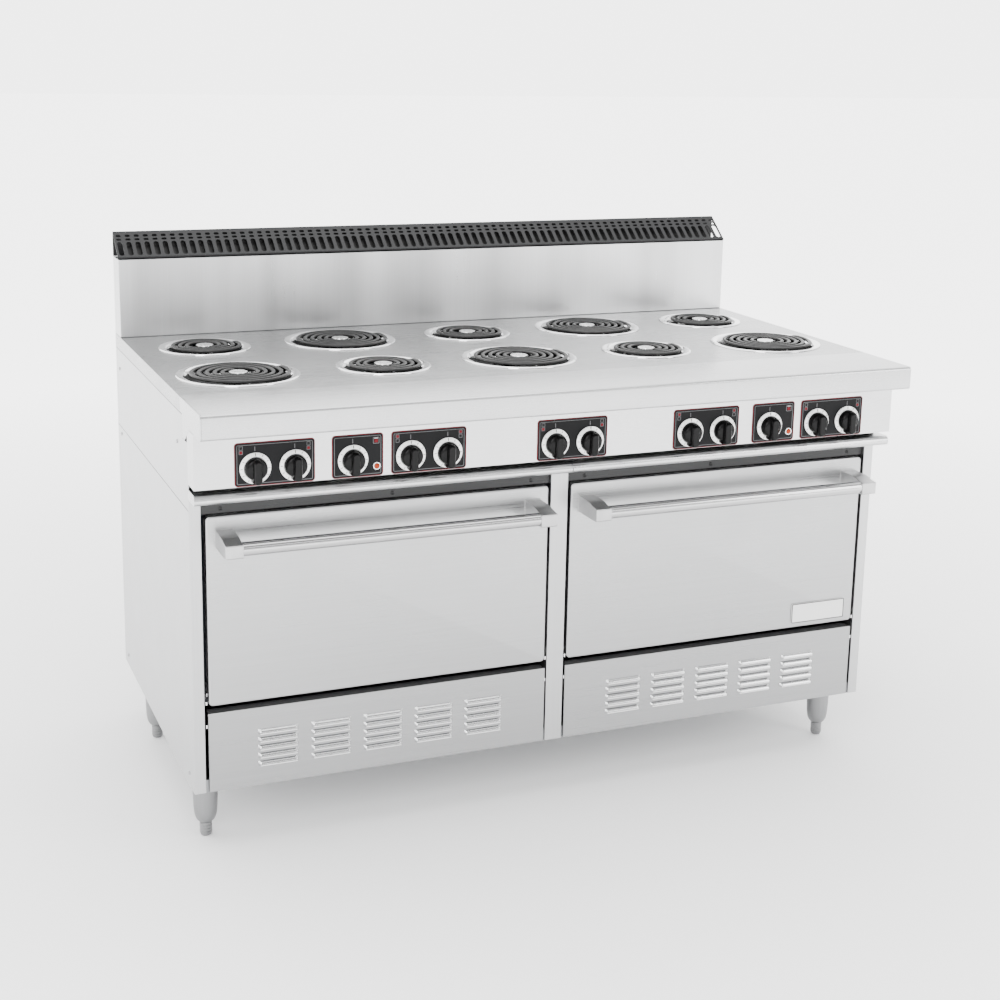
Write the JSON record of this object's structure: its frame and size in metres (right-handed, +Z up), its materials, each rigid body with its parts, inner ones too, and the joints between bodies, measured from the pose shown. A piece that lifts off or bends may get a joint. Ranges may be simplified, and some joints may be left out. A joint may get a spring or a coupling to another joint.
{
  "type": "commercial electric range",
  "caption": "Heavy-duty electric restaurant range with spiral coil elements, twin drop-down ovens, rotary knobs, slotted vented backguard and adjustable legs.",
  "frame": {"origin": "on the floor, below the middle of the bounding box", "axes": "+X to the right along the width, +Y towards the back, +Z up"},
  "size_m": [1.524, 0.876, 1.143],
  "materials": {
    "stainless": "brushed, satin",
    "galvanised": "dull zinc coated sheet",
    "satin_metal": "satin cast metal",
    "vent_black": "matt charcoal paint",
    "enamel": "glossy dark porcelain enamel",
    "bright_chrome": "bright chrome",
    "coil_sheath": "oxidised dark metal sheath",
    "knob_black": "moulded gloss black",
    "knob_skirt": "bright satin dial ring with tick marks",
    "control_plate": "dark overlay with red and grey border lines",
    "pilot_amber": "amber pilot lens",
    "gasket": "woven dark oven gasket"
  },
  "bodies": {
    "cabinet": {"side_panel_left": "stainless", "side_panel_right": "stainless", "back_panel": "galvanised", "base_pan": "galvanised", "front_frame": "stainless", "front_rail": "stainless", "control_panel": "stainless", "switch_bank": "enamel", "worktop": "stainless", "front_ledge": "stainless", "backguard": "stainless", "vent_grille": "vent_black", "kick_panel_left": "stainless", "kick_panel_right": "stainless", "leg_front_left": "satin_metal", "leg_front_right": "satin_metal", "leg_rear_left": "satin_metal", "leg_rear_right": "satin_metal", "oven_cavity_left": "enamel", "oven_cavity_right": "enamel", "drip_bowl_rear_1": "bright_chrome", "drip_bowl_front_1": "bright_chrome", "drip_bowl_rear_2": "bright_chrome", "drip_bowl_front_2": "bright_chrome", "drip_bowl_rear_3": "bright_chrome", "drip_bowl_front_3": "bright_chrome", "drip_bowl_rear_4": "bright_chrome", "drip_bowl_front_4": "bright_chrome", "drip_bowl_rear_5": "bright_chrome", "drip_bowl_front_5": "bright_chrome"},
    "door_left": {"door_skin_left": "stainless", "door_liner_left": "enamel", "door_handle_left": "satin_metal"},
    "rack_left": {"oven_rack_left": "bright_chrome"},
    "door_right": {"door_skin_right": "stainless", "door_liner_right": "enamel", "door_handle_right": "satin_metal"},
    "rack_right": {"oven_rack_right": "bright_chrome"},
    "element_rear_1": {"coil_element_rear_1": "coil_sheath"},
    "element_front_1": {"coil_element_front_1": "coil_sheath"},
    "element_rear_2": {"coil_element_rear_2": "coil_sheath"},
    "element_front_2": {"coil_element_front_2": "coil_sheath"},
    "element_rear_3": {"coil_element_rear_3": "coil_sheath"},
    "element_front_3": {"coil_element_front_3": "coil_sheath"},
    "element_rear_4": {"coil_element_rear_4": "coil_sheath"},
    "element_front_4": {"coil_element_front_4": "coil_sheath"},
    "element_rear_5": {"coil_element_rear_5": "coil_sheath"},
    "element_front_5": {"coil_element_front_5": "coil_sheath"},
    "knob_01": {"knob_01": "knob_black"},
    "knob_02": {"knob_02": "knob_black"},
    "knob_03": {"knob_03": "knob_black"},
    "knob_04": {"knob_04": "knob_black"},
    "knob_05": {"knob_05": "knob_black"},
    "knob_06": {"knob_06": "knob_black"},
    "knob_07": {"knob_07": "knob_black"},
    "knob_08": {"knob_08": "knob_black"},
    "knob_09": {"knob_09": "knob_black"},
    "knob_10": {"knob_10": "knob_black"},
    "knob_11": {"knob_11": "knob_black"},
    "knob_12": {"knob_12": "knob_black"}
  },
  "joints": [
    {"name": "door_left_hinge", "type": "hinge", "parent": "cabinet", "child": "door_left", "pos_m": [-0.378, -0.302, 0.324], "axis": [1, 0, 0], "range_deg": [0, 90], "stiffness_Nm_per_rad": 18, "springref_deg": -25.78},
    {"name": "rack_left_slide", "type": "slide", "parent": "cabinet", "child": "rack_left", "axis": [0, -1, 0], "range_m": [0, 0.024]},
    {"name": "door_right_hinge", "type": "hinge", "parent": "cabinet", "child": "door_right", "pos_m": [0.378, -0.302, 0.324], "axis": [1, 0, 0], "range_deg": [0, 90], "stiffness_Nm_per_rad": 18, "springref_deg": -25.78},
    {"name": "rack_right_slide", "type": "slide", "parent": "cabinet", "child": "rack_right", "axis": [0, -1, 0], "range_m": [0, 0.024]},
    {"name": "element_rear_1_tilt", "type": "hinge", "parent": "cabinet", "child": "element_rear_1", "pos_m": [-0.6096, 0.3, 0.891], "axis": [-1, 0, 0], "range_deg": [0, 12]},
    {"name": "element_front_1_tilt", "type": "hinge", "parent": "cabinet", "child": "element_front_1", "pos_m": [-0.6096, 0.021, 0.891], "axis": [-1, 0, 0], "range_deg": [0, 12]},
    {"name": "element_rear_2_tilt", "type": "hinge", "parent": "cabinet", "child": "element_rear_2", "pos_m": [-0.3048, 0.326, 0.891], "axis": [-1, 0, 0], "range_deg": [0, 12]},
    {"name": "element_front_2_tilt", "type": "hinge", "parent": "cabinet", "child": "element_front_2", "pos_m": [-0.3048, -0.005, 0.891], "axis": [-1, 0, 0], "range_deg": [0, 12]},
    {"name": "element_rear_3_tilt", "type": "hinge", "parent": "cabinet", "child": "element_rear_3", "pos_m": [0, 0.3, 0.891], "axis": [-1, 0, 0], "range_deg": [0, 12]},
    {"name": "element_front_3_tilt", "type": "hinge", "parent": "cabinet", "child": "element_front_3", "pos_m": [0, 0.021, 0.891], "axis": [-1, 0, 0], "range_deg": [0, 12]},
    {"name": "element_rear_4_tilt", "type": "hinge", "parent": "cabinet", "child": "element_rear_4", "pos_m": [0.3048, 0.326, 0.891], "axis": [-1, 0, 0], "range_deg": [0, 12]},
    {"name": "element_front_4_tilt", "type": "hinge", "parent": "cabinet", "child": "element_front_4", "pos_m": [0.3048, -0.005, 0.891], "axis": [-1, 0, 0], "range_deg": [0, 12]},
    {"name": "element_rear_5_tilt", "type": "hinge", "parent": "cabinet", "child": "element_rear_5", "pos_m": [0.6096, 0.3, 0.891], "axis": [-1, 0, 0], "range_deg": [0, 12]},
    {"name": "element_front_5_tilt", "type": "hinge", "parent": "cabinet", "child": "element_front_5", "pos_m": [0.6096, 0.021, 0.891], "axis": [-1, 0, 0], "range_deg": [0, 12]},
    {"name": "knob_01_turn", "type": "hinge", "parent": "cabinet", "child": "knob_01", "pos_m": [-0.6476, -0.382, 0.794], "axis": [0, -1, 0], "continuous": true},
    {"name": "knob_02_turn", "type": "hinge", "parent": "cabinet", "child": "knob_02", "pos_m": [-0.5716, -0.382, 0.794], "axis": [0, -1, 0], "continuous": true},
    {"name": "knob_03_turn", "type": "hinge", "parent": "cabinet", "child": "knob_03", "pos_m": [-0.4588, -0.382, 0.794], "axis": [0, -1, 0], "range_deg": [-300, 0]},
    {"name": "knob_04_turn", "type": "hinge", "parent": "cabinet", "child": "knob_04", "pos_m": [-0.3428, -0.382, 0.794], "axis": [0, -1, 0], "continuous": true},
    {"name": "knob_05_turn", "type": "hinge", "parent": "cabinet", "child": "knob_05", "pos_m": [-0.2668, -0.382, 0.794], "axis": [0, -1, 0], "continuous": true},
    {"name": "knob_06_turn", "type": "hinge", "parent": "cabinet", "child": "knob_06", "pos_m": [-0.038, -0.382, 0.794], "axis": [0, -1, 0], "continuous": true},
    {"name": "knob_07_turn", "type": "hinge", "parent": "cabinet", "child": "knob_07", "pos_m": [0.038, -0.382, 0.794], "axis": [0, -1, 0], "continuous": true},
    {"name": "knob_08_turn", "type": "hinge", "parent": "cabinet", "child": "knob_08", "pos_m": [0.2668, -0.382, 0.794], "axis": [0, -1, 0], "continuous": true},
    {"name": "knob_09_turn", "type": "hinge", "parent": "cabinet", "child": "knob_09", "pos_m": [0.3428, -0.382, 0.794], "axis": [0, -1, 0], "continuous": true},
    {"name": "knob_10_turn", "type": "hinge", "parent": "cabinet", "child": "knob_10", "pos_m": [0.4556, -0.382, 0.794], "axis": [0, -1, 0], "range_deg": [-300, 0]},
    {"name": "knob_11_turn", "type": "hinge", "parent": "cabinet", "child": "knob_11", "pos_m": [0.5716, -0.382, 0.794], "axis": [0, -1, 0], "continuous": true},
    {"name": "knob_12_turn", "type": "hinge", "parent": "cabinet", "child": "knob_12", "pos_m": [0.6476, -0.382, 0.794], "axis": [0, -1, 0], "continuous": true}
  ]
}
